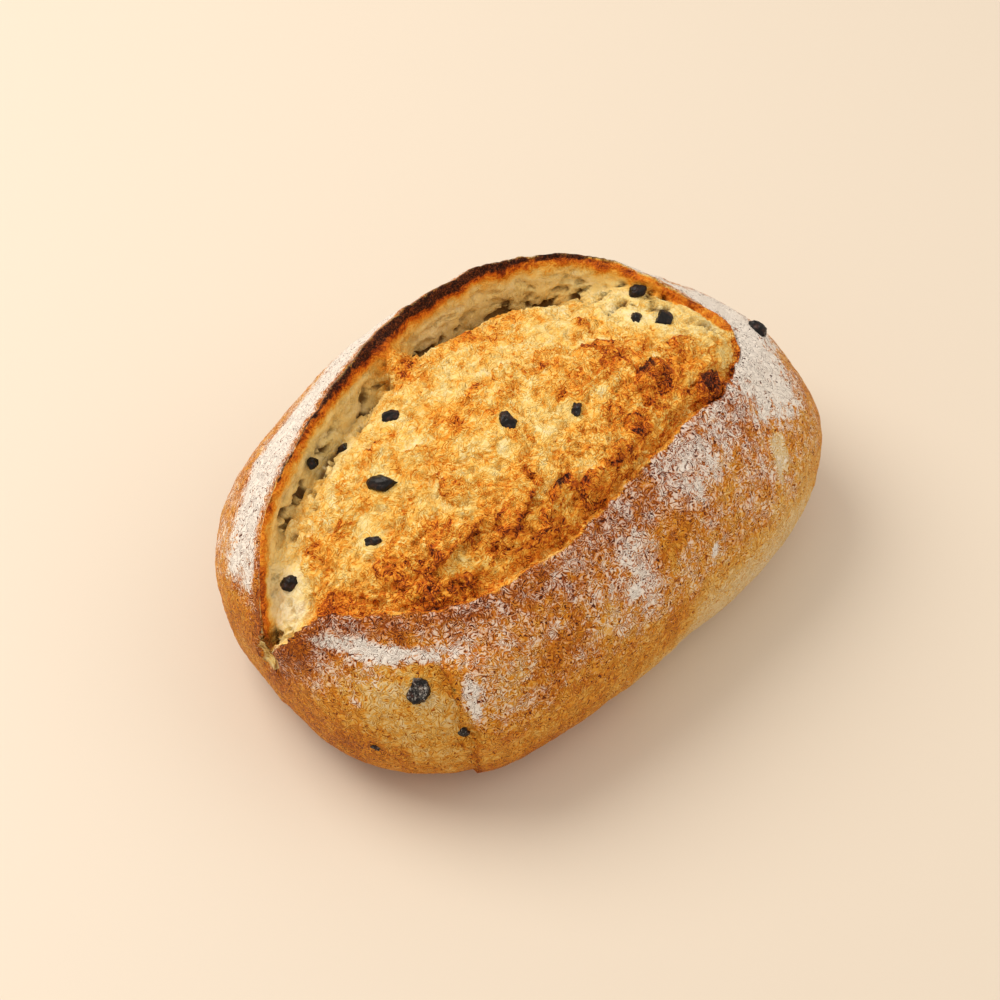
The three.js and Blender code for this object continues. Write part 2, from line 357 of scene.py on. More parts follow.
def station_along(station):
    """Places along the loaf that are evenly spaced over its ends as well as its middle."""
    along = -np.cos(np.linspace(0, math.pi, RIM_SAMPLES))
    rim = np.stack([HALF_LENGTH * along, END_RADIUS * taper(along, PLAN_POWER)], -1)
    length = np.concatenate([[0], np.cumsum(np.linalg.norm(np.diff(rim, axis=0), axis=1))])
    return np.interp(station * length[-1], length, along)


def row_table():
    """For evenly spaced stations, the angle of each row, with the rows spread evenly over the loaf."""
    place = np.clip(station_along(np.linspace(0, 1, TABLE_STATIONS)), -0.9999, 0.9999)
    middle = (angle_on(ear_line, place) + angle_on(lip_line, place)) / 2
    ear_angle = np.minimum(angle_on(ear_line, place), middle - LEAST_SLASH_ANGLE)
    lip_angle = np.maximum(angle_on(lip_line, place), middle + LEAST_SLASH_ANGLE)
    keys = [0 * middle + BASE_ANGLE, lip_angle, ear_angle, 0 * middle + BASE_ANGLE - 2 * math.pi]
    key_rows = [0, LIP_ROW, EAR_ROW, 1]
    rows = np.linspace(0, 1, ROWS + 1)
    table = np.empty((TABLE_STATIONS, ROWS + 1))
    for start, end, row_start, row_end in zip(keys, keys[1:], key_rows, key_rows[1:]):
        angle = start[:, None] + (end - start)[:, None] * np.linspace(0, 1, TABLE_ANGLES)
        points = slash_shape(place[:, None] + 0 * angle, angle)["point"]
        steps = np.linalg.norm(np.diff(points, axis=1), axis=2) + LEAST_STEP
        height = (points[:, 1:, 2] + points[:, :-1, 2]) / 2
        high_ground = smooth_step(height, *LOW_GROUND_HEIGHTS)
        steps = steps * (LOW_GROUND_SHARE + (1 - LOW_GROUND_SHARE) * high_ground)
        length = np.concatenate([np.zeros((TABLE_STATIONS, 1)), np.cumsum(steps, axis=1)], axis=1)
        chosen = (rows >= row_start - 1e-9) & (rows <= row_end + 1e-9)
        share = (rows[chosen] - row_start) / (row_end - row_start)
        for k in range(TABLE_STATIONS):
            table[k, chosen] = np.interp(share * length[k, -1], length[k], angle[k])
    return table


def from_table(table, station, row):
    """The angles at any stations and rows, both from 0 to 1, between the table's own."""
    place = station * (TABLE_STATIONS - 1)
    low = np.minimum(place.astype(int), TABLE_STATIONS - 2)
    left = np.minimum((row * ROWS).astype(int), ROWS - 1)
    share = row * ROWS - left
    near = table[low, left] * (1 - share) + table[low, left + 1] * share
    far = table[low + 1, left] * (1 - share) + table[low + 1, left + 1] * share
    return near + (far - near) * (place - low)


loaf_build = bmesh.new()
bmesh.ops.create_uvsphere(loaf_build, u_segments=ROWS, v_segments=STATIONS, radius=1)
quarter_turn = Matrix.Rotation(math.radians(90), 3, "Y")
bmesh.ops.rotate(loaf_build, cent=(0, 0, 0), matrix=quarter_turn, verts=loaf_build.verts)
loaf_mesh = bpy.data.meshes.new("baked_loaf")
loaf_build.to_mesh(loaf_mesh)
loaf_build.free()

sphere = np.empty(len(loaf_mesh.vertices) * 3)
loaf_mesh.vertices.foreach_get("co", sphere)
sphere = sphere.reshape(-1, 3)
station = np.arccos(np.clip(-sphere[:, 0], -1, 1)) / math.pi
row = np.mod(np.arctan2(-sphere[:, 1], -sphere[:, 2]) / (2 * math.pi), 1)
along = np.clip(station_along(station), -NEAR_THE_ENDS, NEAR_THE_ENDS)
angle = from_table(row_table(), station, row)
slash = slash_shape(along, angle)
skin = slash["point"]
skin[:, 2] = np.maximum(skin[:, 2], 0)

# The smooth loaf is brought to the middle of its footprint, as the frame has it.
box_low, box_high = (np.array(corner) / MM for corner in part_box("loaf"))
own_middle = (skin.min(0) + skin.max(0)) / 2
to_middle = ((box_low + box_high) / 2 - own_middle)[:2]
skin[:, :2] += to_middle
loaf_mesh.vertices.foreach_set("co", (skin * MM).ravel())
orient = bmesh.new()
orient.from_mesh(loaf_mesh)
bmesh.ops.recalc_face_normals(orient, faces=orient.faces)
orient.to_mesh(loaf_mesh)
orient.free()
normal = np.empty(len(loaf_mesh.vertices) * 3)
loaf_mesh.vertices.foreach_get("normal", normal)
normal = normal.reshape(-1, 3)

# Where each point lies: in the slash, on the ear's wall or on the burst crumb, and how far across the slash
# it is, from 0 at the ear to 1 at the lip.
LEAST_OPENING = 1e-6
WALL_FOOT = (5.5, 7.5)
in_rows = (row > LIP_ROW + 0.5 / ROWS) & (row < EAR_ROW - 0.5 / ROWS)
in_slash = (slash["in_slash"] & in_rows).astype(float)
opened = slash["opened"]
ear_distance = slash["ear_distance"]
lip_distance = slash["lip_distance"]
below_ear = slash["below_ear"]
length_place = skin[:, 0]
height = skin[:, 2]
opening = np.maximum(angle_on(lip_line, along) - angle_on(ear_line, along), LEAST_OPENING)
across = (angle - angle_on(ear_line, along)) / opening
on_wall = in_slash * (1 - smooth_step(ear_distance, *WALL_FOOT))
on_bloom = in_slash - on_wall

# Torn crumb: soft lumps, ridges drawn out along the slash, fibres and open pores.
PORE_DEPTH = 1.5
drawn_out = skin * [0.6, 1, 1]
lumps = 1.3 * fractal_at(skin, 24, 2, 1)
ridges = 0.55 * (1 - 2.4 * np.abs(fractal_at(drawn_out, 9, 3, 2)))
fibres = 0.5 * (1 - 3 * np.abs(fractal_at(skin, 3.2, 3, 3)))
pores = -PORE_DEPTH * smooth_step(fractal_at(skin, 3.6, 2, 4), 0.24, 0.5)
clear_of_lip = smooth_step(lip_distance, 0, 5)
torn = (lumps + ridges) * clear_of_lip + fibres + pores * smooth_step(lip_distance, 0, 2)

# The ear's inner wall: layers and flat pores that run along it, and caves at its foot.
WALL_PORE_DEPTH = 1.6
CAVE_DEPTH = 4
GULLY_STARTS = (3.5, 6)
GULLY_ENDS = (9, 15)
layered = skin * [0.32, 1, 1]
wall_layers = 0.55 * fractal_at(layered, 2.6, 3, 5)
wall_pores = -WALL_PORE_DEPTH * smooth_step(fractal_at(layered, 2.4, 2, 6), 0.2, 0.5)
wall_pores *= smooth_step(below_ear, 4, 9)
in_gully = smooth_step(ear_distance, *GULLY_STARTS) * (1 - smooth_step(ear_distance, *GULLY_ENDS)) * in_slash
cave_share = fractal_at(drawn_out, 5, 3, 9) + 0.1 * smooth_step(-length_place, 20, 50)
cave_share = smooth_step(cave_share, 0.14, 0.32) * in_gully * (1 - slash["bridge"])
cave_share = cave_share * smooth_step(length_place, -96, -82)
caves = -CAVE_DEPTH * cave_share

# The crust: broad unevenness, blisters and fine roughness, all of which die away on the flat base.
BASE_EDGE = (3, 16)
off_base = smooth_step(height, *BASE_EDGE)
crust_detail = (
    1.2 * fractal_at(skin, 40, 2, 10)
    + 0.3 * fractal_at(skin, 6, 3, 11)
    + 0.14 * fractal_at(skin, 1.8, 2, 12)
)

lift = crust_detail * off_base * (1 - in_slash)
lift += (torn * on_bloom + (wall_layers + wall_pores) * on_wall) * opened + caves * opened

# Flaps where the skin of the burst crumb tore into steps. Each has its place along and round the loaf, the
# way its edge faces (0 is +X and 90 the ear), its length, rise and run back in mm, how far its ends fall
# back, and how dark its edge is toasted.
FLAPS = [
    (0.33, 101.5, 95, 17, 2.8, 11, 3, 0.95),
    (0.49, 113, 95, 17, 2.6, 12, 2, 1.0),
    (0.32, 77, 45, 7, 1.6, 7, 2, 0.6),
    (-0.03, 74, 120, 8, 1.4, 7, 2, 0.5),
    (-0.03, 79.5, 100, 14, 1.9, 10, 2.5, 0.65),
    (0.08, 82.5, 160, 14, 1.9, 14, 3, 0.5),
    (0.28, 86.5, 70, 18, 2.0, 12, 2, 0.45),
    (-0.14, 79.5, 110, 9, 1.3, 7, 2, 0.5),
    (-0.09, 85, 90, 8, 1.2, 6, 2, 0.5),
    (-0.463, 74, 80, 11, 1.8, 9, 2, 0.6),
    (-0.39, 83, 60, 10, 1.1, 7, 1, 0.5),
    (-0.815, 78, 110, 13, 1.8, 10, 3, 0.4),
    (-0.435, 99.3, 165, 14, 2.2, 12, 3, 0.75),
    (-0.208, 97, -80, 9, 1.1, 6, -1, 0.6),
    (-0.5, 113.5, -85, 30, 2.2, 14, 1.5, 0.6),
    (-0.3, 117, -60, 24, 2.2, 12, -1, 0.5),
    (-0.16, 115.5, 100, 13, 2.2, 8, 2, 1.0),
    (-0.06, 118.5, 90, 11, 1.8, 8, 2, 0.85),
    (-0.571, 110, 170, 11, 1.5, 10, 2, 0.85),
    (0.1, 117, 60, 13, 1.3, 10, 2, 0.7),
    (0.19, 112, 90, 13, 1.3, 9, 2, 0.6),
    (-0.7, 101, 140, 14, 1.5, 12, 2, 0.5),
    (0.5, 97, 80, 12, 1.4, 9, 2, 0.5),
]
FLAP_HEIGHT_LIMIT = 14
EDGE_SLIDE = 0.5
PLAIN_TOAST = 0.32
EDGE_TOAST = 0.36
RISE_TOAST = 0.13
LEE_PALENESS = 0.12
ragged = 1.2 * fractal_at(skin, 5, 2, 20) + 2.2 * np.abs(fractal_at(skin, 2.6, 2, 21)) - 0.6


def local_place(along_at, angle_at, facing):
    """Each point's place, in mm, ahead of a feature, along it and above it, and the way that it faces."""
    here = np.array([along_at])
    turned = np.array([math.radians(angle_at)])
    centre = slash_shape(here, turned)["point"][0]
    centre[:2] += to_middle
    outward, roundabout = (direction[0] for direction in skin_frame(here, turned))
    lengthways = np.cross(outward, roundabout)
    faces = math.cos(math.radians(facing)) * lengthways - math.sin(math.radians(facing)) * roundabout
    offset = skin - centre
    return offset @ faces, offset @ np.cross(outward, faces), offset @ outward, faces


def flap(along_at, angle_at, facing, length, run, bow):
    """Each point's share of a flap's rise, dark edge, pale lee and burnt middle, and the way it faces."""
    ahead, along_edge, above, faces = local_place(along_at, angle_at, facing)
    behind = -ahead - bow * (2 * along_edge / length) ** 2 + ragged
    from_middle = np.abs(along_edge)
    close_by = np.abs(above) < FLAP_HEIGHT_LIMIT
    window = (1 - smooth_step(from_middle, 0.3 * length, 0.55 * length)) * close_by
    rise_share = window * smooth_step(behind, -0.5, 0.5) * (1 - smooth_step(behind, 0.2 * run, run))
    edge_share = window * np.exp(-(((behind - 0.3) / 0.9) ** 2))
    lee_share = window * smooth_step(-behind, 0.2, 1) * (1 - smooth_step(-behind, 2, 8))
    burnt_share = (1 - smooth_step(from_middle, 0.12 * length, 0.36 * length)) * close_by
    burnt_share = burnt_share * smooth_step(behind, -0.4, 0.3) * (1 - smooth_step(behind, 1, 3.5))
    return rise_share, edge_share, lee_share, burnt_share, faces


toast = PLAIN_TOAST + 0 * lift
burnt = 0 * lift
slide = np.zeros_like(skin)
for along_at, angle_at, facing, length, rise, run, bow, darkness in FLAPS:
    rise_share, edge_share, lee_share, burnt_share, faces = flap(along_at, angle_at, facing, length, run, bow)
    lift += rise * rise_share * in_slash
    slide += EDGE_SLIDE * rise * (edge_share * rise_share * in_slash)[:, None] * faces
    toast += darkness * (EDGE_TOAST * edge_share + RISE_TOAST * rise_share) * in_slash
    toast -= LEE_PALENESS * lee_share * in_slash
    burnt = np.maximum(burnt, smooth_step(darkness, 0.7, 1) * burnt_share * in_slash)


PATCH_HEIGHT_LIMIT = 20


def spot(along_at, angle_at, turned, length, width):
    """How much each point belongs to a rounded patch of the given length and width, with an uneven edge."""
    along_it, across_it, above, _ = local_place(along_at, angle_at, turned)
    apart = np.sqrt((2 * along_it / length) ** 2 + (2 * across_it / width) ** 2) + 0.3 * ragged
    return (1 - smooth_step(apart, 0.55, 1.25)) * (np.abs(above) < PATCH_HEIGHT_LIMIT)


def nearness(middle, radius):
    """How near each point is to a place in mm, falling smoothly from 1 to 0 over about twice the radius."""
    return np.exp(-((np.linalg.norm(skin - middle, axis=1) / radius) ** 2))


# The fold in the crust at the -X end, where the dough was tucked under, and the cracks that run in from the
# lip: place, facing, length, rise, run and bow, as for the flaps.
CRUST_STEPS = [
    (-0.735, 160, 172, 40, 2.2, 30, -2),
    (-0.715, 186, 184, 44, 1.4, 26, 2),
    (-0.11, 131, 160, 16, 0.8, 9, 1),
    (0.165, 133, 30, 20, 0.8, 10, 2),
    (-0.3, 140, 10, 12, 0.5, 8, 1),
]
CRUST_EDGE_SLIDE = 0.35
CRUST_LEE_DEPTH = 0.3
step_brown = 0 * lift
for along_at, angle_at, facing, length, rise, run, bow in CRUST_STEPS:
    rise_share, edge_share, lee_share, _, faces = flap(along_at, angle_at, facing, length, run, bow)
    lift += rise * rise_share * (1 - in_slash)
    lift -= CRUST_LEE_DEPTH * rise * lee_share * (1 - in_slash)
    step_brown = np.maximum(step_brown, edge_share)
    slide += CRUST_EDGE_SLIDE * rise * (edge_share * rise_share * (1 - in_slash))[:, None] * faces

# The surface is smooth round each olive piece, clear of the torn detail, and the crumb there is a little
# paler.
HALO_WIDTH = 4
HALO_PALENESS = 0.1
olive_names = sorted(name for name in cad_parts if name.startswith("olive_piece_"))
halo = 0 * lift
for name in olive_names:
    low, high = (np.array(corner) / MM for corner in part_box(name))
    beyond = np.linalg.norm(skin - (low + high) / 2, axis=1) - (high - low).mean() / 2
    halo = np.maximum(halo, 1 - smooth_step(beyond, 0, HALO_WIDTH))
lift = lift * (1 - halo)
toast -= HALO_PALENESS * halo

# The slash's front end runs out in a soft hollow, below where its two edges meet.
TIP_MIDDLE = [-115, -5, 45]
TIP_RADII = [14, 5.5, 9]
TIP_DEPTH = 2.4
tip_apart = np.linalg.norm((skin - TIP_MIDDLE) / TIP_RADII, axis=1) + 0.35 * fractal_at(skin, 5, 3, 42)
tip_hollow = np.exp(-(tip_apart**4))
tip_grain = fractal_at(skin, 3, 3, 43)
lift -= TIP_DEPTH * tip_hollow
points = skin + normal * lift[:, None] + slide
points[:, 2] = np.maximum(points[:, 2], 0)
loaf_mesh.vertices.foreach_set("co", (points * MM).ravel())
loaf_mesh.update()
for polygon in loaf_mesh.polygons:
    polygon.use_smooth = True


def add_attribute(mesh, name, values):
    layer = mesh.attributes.new(name, "FLOAT", "POINT")
    layer.data.foreach_set("value", np.asarray(values, np.float32))


# How the oven browned the crumb, from 0 for white to 1 for black: pale in the gully, golden on top and deeper
# towards the lip. The spots are browner or paler than what is round them: middle, radius and amount.
GULLY_TOAST_SHARE = 0.15
DEEPEST_TOAST = 0.78
TOAST_SPOTS = [
    ((-104, -4, 60), 11, -0.3),
    ((70, -27, 82), 8, -0.4),
    ((-52, -40, 84), 9, 0.2),
]
patches = 0.24 * fractal_at(skin, 22, 3, 30) + 0.12 * fractal_at(skin, 4.5, 3, 31)
toast += 0.16 * smooth_step(across, 0.5, 0.95) + patches
toast += 0.3 * (1 - smooth_step(lip_distance, 0.3, 2)) * smooth_step(length_place, 50, 75)
toast += 0.08 * np.exp(-(((length_place + 82) / 26) ** 2)) * smooth_step(across, 0.45, 0.75)
toast += 0.1 * smooth_step(length_place, 0, 30) * smooth_step(across, 0.5, 0.8)
toast *= GULLY_TOAST_SHARE + (1 - GULLY_TOAST_SHARE) * smooth_step(ear_distance, 3, 20)
toast += 0.3 * slash["bridge"] * (1 - smooth_step(ear_distance, 10, 22)) * in_slash
for middle, radius, amount in TOAST_SPOTS:
    toast += amount * nearness(middle, radius)
toast = np.minimum(toast, DEEPEST_TOAST)
toast = np.maximum(toast, (0.3 + 0.5 * tip_grain) * tip_hollow)

# The ear's edge is charred, to its greatest depth in mm at its highest part, and browned below that.
CHAR_MIDDLE = -2
CHAR_HALF_LENGTH = 38
LEAST_CHAR = 1.3
MORE_CHAR = 4.5
BROWN_DEPTH = 7
char_depth = LEAST_CHAR + MORE_CHAR * np.exp(-(((length_place - CHAR_MIDDLE) / CHAR_HALF_LENGTH) ** 2))
char_depth += 1.5 * fractal_at(skin, 5, 3, 32) - 1.2 * smooth_step(length_place, 48, 78)
middle_of_ear = np.exp(-(((length_place + 8) / 52) ** 4))
brown_end = char_depth + BROWN_DEPTH + 3 * fractal_at(layered, 5, 2, 37)
brown = 1 - smooth_step(below_ear, 0.5 * char_depth, brown_end)
wall_toast = 0.62 + 0.2 * middle_of_ear + 0.15 * fractal_at(skin, 7, 2, 38)
toast = np.maximum(toast, brown * on_wall * wall_toast)
seared = smooth_step(-np.abs(length_place + 14), -94, -66)
scorch = smooth_step(char_depth - below_ear, -0.2, 2.2) * on_wall * seared
outer_rim = (1 - smooth_step(ear_distance, 0.5, 1.8)) * seared * (1 - in_slash)
scorch = np.maximum(scorch, outer_rim * (0.7 + 0.3 * fractal_at(skin, 14, 2, 39)))
scorch = np.maximum(scorch, burnt * (0.66 + 0.6 * fractal_at(skin, 2.6, 2, 41)))

# Painted shade on the crumb, where little light reaches it: more in the deep gully, in its caves and in the
# front end's hollow.
hollow_shade = smooth_step(below_ear, 12, 24) * in_slash * (1 - smooth_step(ear_distance, 8, 16))
hollow_shade += (1.1 + 1.6 * tip_grain) * smooth_step(tip_hollow, 0.05, 0.4) + 2.4 * cave_share * opened

# How the oven browned the crust: pale at the foot in its middle stretch, golden to reddish brown above, and
# darker beside the slash. The foot's extra brown towards the -X end is partly real browning and partly
# painted shade on the loaf's low front.
SIDE_BAKE = 0.52
DEEPEST_BAKE = 0.82
LIP_CORNER = [-112, -17, 62]
LIP_CORNER_RADIUS = 6
# The foot: browner towards the -X end, partly real browning and partly painted shade, and pale in the middle
# stretch.
foot_bake_and_shade = 0.62 - 0.6 * smooth_step(length_place, -45, 25) + 0.36 * smooth_step(length_place, 70, 100)
foot_height = 32 + 26 * smooth_step(length_place, -30, 40)
bake = foot_bake_and_shade + (SIDE_BAKE - foot_bake_and_shade) * smooth_step(height / foot_height, 0.3, 1.05)
bake += 0.26 * np.exp(-((lip_distance / 15) ** 2)) * (1 - in_slash)
bake += 0.16 * (1 - smooth_step(ear_distance, 0, 5)) * (1 - in_slash)
bake += 0.22 * step_brown
bake += 0.11 * fractal_at(skin, 20, 3, 33) + 0.12 * fractal_at(skin, 5, 3, 34)
lip_corner = nearness(LIP_CORNER, LIP_CORNER_RADIUS)
bake += 0.3 * lip_corner

# Flour: thick down the back beside the ear, mottled over the front, and hardly any near the base.
LEAST_FLOUR = -0.26
MORE_FLOUR = 0.48
flour = LEAST_FLOUR + MORE_FLOUR * smooth_step(height, 24, 54)
back_side = (1 - in_slash) * (angle < math.pi / 2)
flour += 0.03 * back_side * smooth_step(height, 30, 60)
beside_ear = smooth_step(ear_distance, 1, 5) * (1 - smooth_step(ear_distance, 13, 24))
flour += 0.5 * back_side * beside_ear * smooth_step(height, 50, 64)
flour += 0.14 * fractal_at(skin, 22, 3, 35) + 0.16 * fractal_at(skin, 6, 3, 36)
flour += 0.1 * fractal_at(skin, 2.5, 2, 40) - 0.25 * lip_corner

# Patches of the crust: place along and round the loaf, turn, length and width in mm, and what each adds to
# the flour and to the bake.
CRUST_PATCHES = [
    (0.27, 131, 20, 44, 28, 0.24, 0),
    (-0.07, 149, 60, 34, 22, 0.24, 0),
    (-0.86, 121, -50, 34, 7, 0.4, 0),
    (-0.76, 134, -30, 26, 7, 0.34, 0),
    (0.72, 112, 70, 54, 38, 0.48, 0),
    (0.8, 133, 0, 22, 18, 0.3, 0),
    (0.86, 88, 60, 44, 34, 0.46, 0),
    (0.6, 66, 50, 56, 20, 0.5, 0),
    (0.596, 149, 70, 18, 8, 0, -0.6),
    (0.5, 127, 30, 34, 26, 0.15, 0),
    (0.1, 200, 0, 50, 12, 0.3, 0),
    (0.45, 188, 0, 26, 8, 0.4, 0),
    (-0.69, 157, 80, 18, 7, 0.4, 0),
    (-0.115, 154, 0, 5, 4, 0.7, -0.2),
    (0.21, 161, 60, 5, 3, 0.6, -0.2),
    (-0.55, 48, 0, 60, 13, 0.34, 0),
    (0.3, 38, 0, 120, 26, 0.25, 0),
    (-0.83, 165, -60, 46, 30, -0.5, -0.22),
    (-0.975, 50, 90, 34, 28, -0.35, 0.04),
    (-0.93, 138, 0, 30, 26, 0.12, -0.1),
    (-0.777, 146, 0, 22, 16, -0.6, -0.1),
    (-0.97, 165, 80, 40, 22, -0.2, 0.04),
    (-0.4, 155, 30, 30, 14, -0.15, 0.12),
    (0.1, 147, 30, 26, 12, -0.2, 0.1),
]
for along_at, angle_at, turned, length, width, more_flour, more_bake in CRUST_PATCHES:
    patch = spot(along_at, angle_at, turned, length, width) * (1 - in_slash)
    flour += more_flour * patch
    bake += more_bake * patch
bake = np.minimum(bake, DEEPEST_BAKE)

# How far each point is inside the slash, in mm, less than 0 outside it: the line between the two colours.
inside = np.where(slash["in_slash"], 1, -1) * np.minimum(ear_distance, lip_distance)
inside = np.maximum(inside, 1.6 * (tip_hollow - 0.4 + 0.35 * tip_grain))
add_attribute(loaf_mesh, "inside", inside)
add_attribute(loaf_mesh, "toast", toast)
add_attribute(loaf_mesh, "wall", on_wall)
add_attribute(loaf_mesh, "scorch", scorch)
add_attribute(loaf_mesh, "hollow_shade", hollow_shade)
add_attribute(loaf_mesh, "bake", bake)
add_attribute(loaf_mesh, "flour", flour)

# One material for crust and crumb. It reads the values above, and adds what is too fine for the mesh.
crust = bpy.data.materials.new("crust_and_crumb")
crust.use_nodes = True
tree = crust.node_tree
shader = tree.nodes["Principled BSDF"]
shader.inputs["Specular IOR Level"].default_value = 0.12


def add_node(tree, kind, values=(), **settings):
    """A node with its settings, and its inputs set to values or fed by other nodes' outputs."""
    node = tree.nodes.new("ShaderNode" + kind)
    for key, value in settings.items():
        setattr(node, key, value)
    for key, value in dict(values).items():
        if isinstance(value, bpy.types.NodeSocket):
            tree.links.new(value, node.inputs[key])
        else:
            node.inputs[key].default_value = value
    return node


def srgb(red, green, blue):
    """A colour given as 0 to 255 on a screen, as the renderer's linear values."""
    channels = [value / 255 for value in (red, green, blue)]
    return [c / 12.92 if c <= 0.04045 else ((c + 0.055) / 1.055) ** 2.4 for c in channels] + [1]


def add_ramp(tree, factor, stops):
    """A smooth colour ramp with (place, colour) stops."""
    node = add_node(tree, "ValToRGB", {"Fac": factor})
    ramp = node.color_ramp
    while len(ramp.elements) < len(stops):
        ramp.elements.new(0.5)
    for element, (place, colour) in zip(ramp.elements, stops):
        element.position = place
        element.color = colour
    return node.outputs["Color"]


def attribute(tree, name):
    return add_node(tree, "Attribute", attribute_name=name).outputs["Fac"]


def math_node(tree, operation, first, second=0.0, third=0.0):
    values = {0: first, 1: second, 2: third}
    return add_node(tree, "Math", values, operation=operation).outputs["Value"]


def add_scaled(tree, first, scale, second):
    """first times scale, plus second."""
    return math_node(tree, "MULTIPLY_ADD", first, scale, second)


def map_range(tree, value, low, high, to_low=0.0, to_high=1.0):
    values = {"Value": value, "From Min": low, "From Max": high, "To Min": to_low, "To Max": to_high}
    return add_node(tree, "MapRange", values, interpolation_type="SMOOTHSTEP").outputs["Result"]


def mix_colour(tree, factor, first, second):
    values = {"Factor": factor, 6: first, 7: second}
    return add_node(tree, "Mix", values, data_type="RGBA").outputs[2]


def noise_node(tree, where, scale, detail=3.0, roughness=0.6, distortion=0.0):
    values = {
        "Vector": where,
        "Scale": scale,
        "Detail": detail,
        "Roughness": roughness,
        "Distortion": distortion,
    }
    return add_node(tree, "TexNoise", values).outputs["Fac"]


def node_group(name, inputs, outputs):
    """A new node group with the named inputs and float outputs, and its two ends."""
    group = bpy.data.node_groups.new(name, "ShaderNodeTree")
    for label, kind in inputs.items():
        group.interface.new_socket(label, in_out="INPUT", socket_type="NodeSocket" + kind)
    for label in outputs:
        group.interface.new_socket(label, in_out="OUTPUT", socket_type="NodeSocketFloat")
    return group, group.nodes.new("NodeGroupInput").outputs, group.nodes.new("NodeGroupOutput").inputs


def use_group(tree, group, values):
    return add_node(tree, "Group", values, node_tree=group).outputs


# Short curled strokes and the gaps between them, as torn crumb and blistered crust both have.
curls, given, answers = node_group("curls", {"Vector": "Vector", "Scale": "Float"}, ["Strokes", "Gaps"])
tree = curls
winding = noise_node(tree, given["Vector"], given["Scale"], 1, 0.5, 0.9)
folded = math_node(tree, "PINGPONG", math_node(tree, "MULTIPLY", winding, 6), 0.5)
broken = noise_node(tree, given["Vector"], math_node(tree, "MULTIPLY", given["Scale"], 1.7), 2, 0.6)
strokes = map_range(tree, add_scaled(tree, broken, 0.5, folded), 0.35, 0.72)
gaps = map_range(tree, add_scaled(tree, broken, -0.35, folded), -0.08, -0.2)
tree.links.new(strokes, answers["Strokes"])
tree.links.new(gaps, answers["Gaps"])

# Flour sieved over a surface: fine grains in loose clumps, more of them as the amount goes from 0 to 1.
flour_dust, given, answers = node_group("flour_dust", {"Vector": "Vector", "Amount": "Float"}, ["Mask"])
tree = flour_dust
grain = noise_node(tree, given["Vector"], 900, 3, 0.7, 1.5)
clumps = noise_node(tree, given["Vector"], 380, 3, 0.6, 0.6)
sieved = add_scaled(tree, clumps, 0.8, math_node(tree, "MULTIPLY", grain, 1.2))
sieved = math_node(tree, "ADD", math_node(tree, "SUBTRACT", sieved, 1.0), given["Amount"])
tree.links.new(map_range(tree, sieved, 0.3, 0.7), answers["Mask"])

# The crust and crumb share their grain. A noise's scale is per metre, so 420 gives grains of about 2 mm.
tree = crust.node_tree
where = add_node(tree, "TexCoord").outputs["Object"]
fine = noise_node(tree, where, 420, 4, 0.65, 0.8)
fine_sway = math_node(tree, "SUBTRACT", fine, 0.5)
finer = noise_node(tree, where, 1100, 3, 0.6, 1.5)
crumb_curls = use_group(tree, curls, {"Vector": where, "Scale": 310})
crust_curls = use_group(tree, curls, {"Vector": where, "Scale": 360})

# Crumb colour: pale strands over a toasted ground, with darker gaps between them, in drifts of deeper brown.
# The strands are partly paler crumb and partly painted highlight on the fibres. The gaps are partly darker
# crumb and partly painted shade in the pores. Each adds to the toasting or takes from it, less where the
# crumb is pale, and the sum picks the colour.
# The brown that the crumb is darkened towards as painted shade in the gully, its caves and the front end's
# hollow.
SHADED_CRUMB = srgb(122, 80, 36)
drifts = add_scaled(tree, noise_node(tree, where, 100, 4, 0.6, 0.6), 0.9, -0.45)
speckle = math_node(tree, "MULTIPLY", fine_sway, 0.5)
stretched = add_node(tree, "VectorMath", {0: where, 1: (0.3, 1, 1)}, operation="MULTIPLY").outputs[0]
drawn = noise_node(tree, stretched, 330, 3, 0.55, 1.2)
drawn = map_range(tree, math_node(tree, "ABSOLUTE", math_node(tree, "SUBTRACT", drawn, 0.5)), 0.035, 0)
peeling = noise_node(tree, where, 85, 5, 0.62, 1.0)
peeled_under = map_range(tree, peeling, 0.545, 0.66)
flakes = math_node(tree, "SUBTRACT", map_range(tree, peeling, 0.53, 0.545), peeled_under)
toasted = math_node(tree, "ADD", attribute(tree, "toast"), 0.1)
unrest = map_range(tree, toasted, 0.1, 0.55, 0.3, 1.0)
unrest = math_node(tree, "MULTIPLY", unrest, map_range(tree, attribute(tree, "wall"), 0, 1, 1, 0.5))
toasted = add_scaled(tree, math_node(tree, "ADD", drifts, speckle), unrest, toasted)
strokes = math_node(tree, "MULTIPLY", crumb_curls["Strokes"], unrest)
gaps = math_node(tree, "MULTIPLY", crumb_curls["Gaps"], unrest)
# Partly painted highlight and painted shade: the pale strokes lighten the crumb as highlights on its fibres,
# and the gaps darken it as shade in the pores between them.
toasted = add_scaled(tree, strokes, -0.17, toasted)
toasted = add_scaled(tree, gaps, 0.16, toasted)
toasted = add_scaled(tree, math_node(tree, "MULTIPLY", drawn, unrest), -0.16, toasted)
toasted = add_scaled(tree, math_node(tree, "MULTIPLY", flakes, unrest), 0.21, toasted)
crumb_colour = add_ramp(tree, toasted, [
    (0.0, srgb(255, 238, 196)),
    (0.16, srgb(255, 226, 148)),
    (0.34, srgb(255, 200, 96)),
    (0.52, srgb(248, 162, 48)),
    (0.7, srgb(222, 112, 24)),
    (0.86, srgb(148, 60, 18)),
    (1.0, srgb(58, 24, 16)),
])
